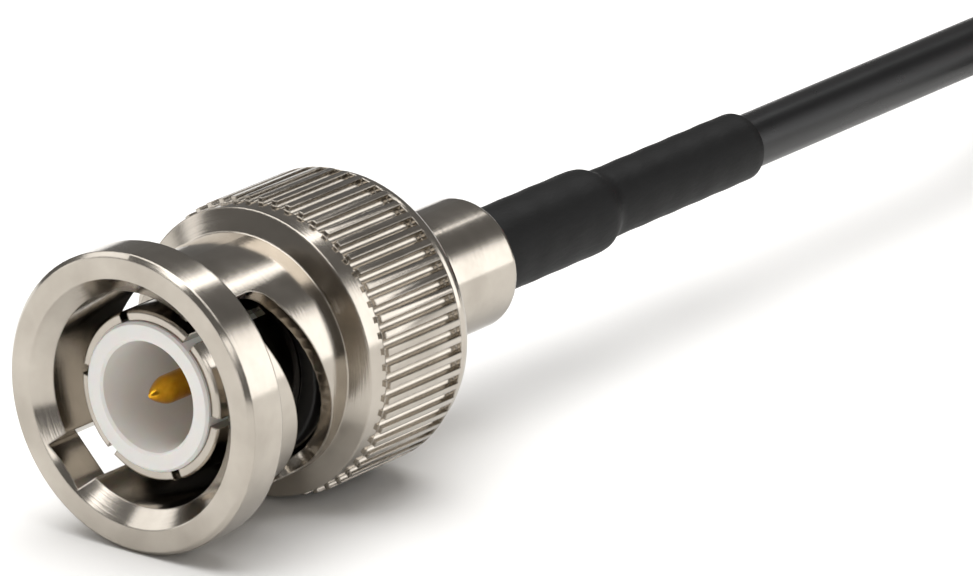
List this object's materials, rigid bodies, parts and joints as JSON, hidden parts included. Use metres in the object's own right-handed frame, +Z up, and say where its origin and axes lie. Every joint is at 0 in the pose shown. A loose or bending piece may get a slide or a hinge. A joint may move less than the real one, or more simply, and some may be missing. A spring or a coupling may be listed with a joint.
{
  "type": "oscilloscope test lead",
  "caption": "Bayonet coaxial plug with knurled turning nut on a thin black coax, ending in a red and a black spring hook clip.",
  "frame": {"origin": "on the supporting surface under the middle of the plug with its heat-shrunk sleeve", "axes": "+X from the plug's open face along the cable, +Z up, +Y across"},
  "size_m": [0.1364, 0.0269, 0.0184],
  "materials": {
    "nickel_plate": "satin bright nickel plate",
    "spring_steel": "spring steel, plain",
    "tinned_copper": "tinned copper",
    "crimp_metal": "nickel-plated copper, crimped",
    "gold_plate": "gold plate on brass",
    "copper": "bare copper strand",
    "white_ptfe": "turned PTFE",
    "clear_polyethylene": "extruded polyethylene",
    "silicone_seal": "moulded black silicone rubber",
    "heat_shrink": "matte shrunk polyolefin",
    "black_pvc": "semi-gloss extruded PVC",
    "tie_fabric": "woven hook-and-loop strap",
    "red_wire": "soft red wire insulation",
    "black_wire": "soft black wire insulation",
    "red_abs": "moulded red plastic",
    "black_abs": "moulded black plastic"
  },
  "bodies": {
    "plug": {"plug_body": "nickel_plate", "outer_contact": "nickel_plate", "spring_washers": "spring_steel", "red_clip_hook": "spring_steel", "black_clip_hook": "spring_steel", "red_clip_spring": "spring_steel", "black_clip_spring": "spring_steel", "cable_braid": "tinned_copper", "crimp_ferrule": "crimp_metal", "centre_pin": "gold_plate", "inner_conductor": "copper", "front_insulator": "white_ptfe", "rear_insulator": "white_ptfe", "cable_dielectric": "clear_polyethylene", "gasket": "silicone_seal", "heat_shrink_sleeve": "heat_shrink", "split_sleeve": "heat_shrink", "jacket_end": "black_pvc", "coax_cable": "black_pvc", "coax_hank": "black_pvc", "coax_end": "black_pvc", "hank_tie": "tie_fabric", "red_lead": "red_wire", "black_lead": "black_wire", "red_clip_core": "red_abs", "black_clip_core": "black_abs"},
    "thrust_washer": {"thrust_washer": "nickel_plate"},
    "coupling_nut": {"coupling_nut": "nickel_plate", "retaining_ring": "spring_steel"},
    "red_clip_barrel": {"red_clip_barrel": "red_abs"},
    "black_clip_barrel": {"black_clip_barrel": "black_abs"}
  },
  "joints": [
    {"name": "nut_pull", "type": "slide", "parent": "plug", "child": "thrust_washer", "axis": [-1, 0, 0], "range_m": [0, 0.0006], "stiffness_N_per_m": 12000, "springref_m": -0.0001, "deforming": ["spring_washers"]},
    {"name": "nut_turn", "type": "hinge", "parent": "thrust_washer", "child": "coupling_nut", "pos_m": [-0.01575, 0, 0.00725], "axis": [1, 0, 0], "continuous": true},
    {"name": "red_clip_pull", "type": "slide", "parent": "plug", "child": "red_clip_barrel", "axis": [-1, 0, 0], "range_m": [0, 0.0055], "stiffness_N_per_m": 250, "springref_m": -0.004, "deforming": ["red_clip_spring"]},
    {"name": "black_clip_pull", "type": "slide", "parent": "plug", "child": "black_clip_barrel", "axis": [-1, 0, 0], "range_m": [0, 0.0055], "stiffness_N_per_m": 250, "springref_m": -0.004, "deforming": ["black_clip_spring"]}
  ]
}
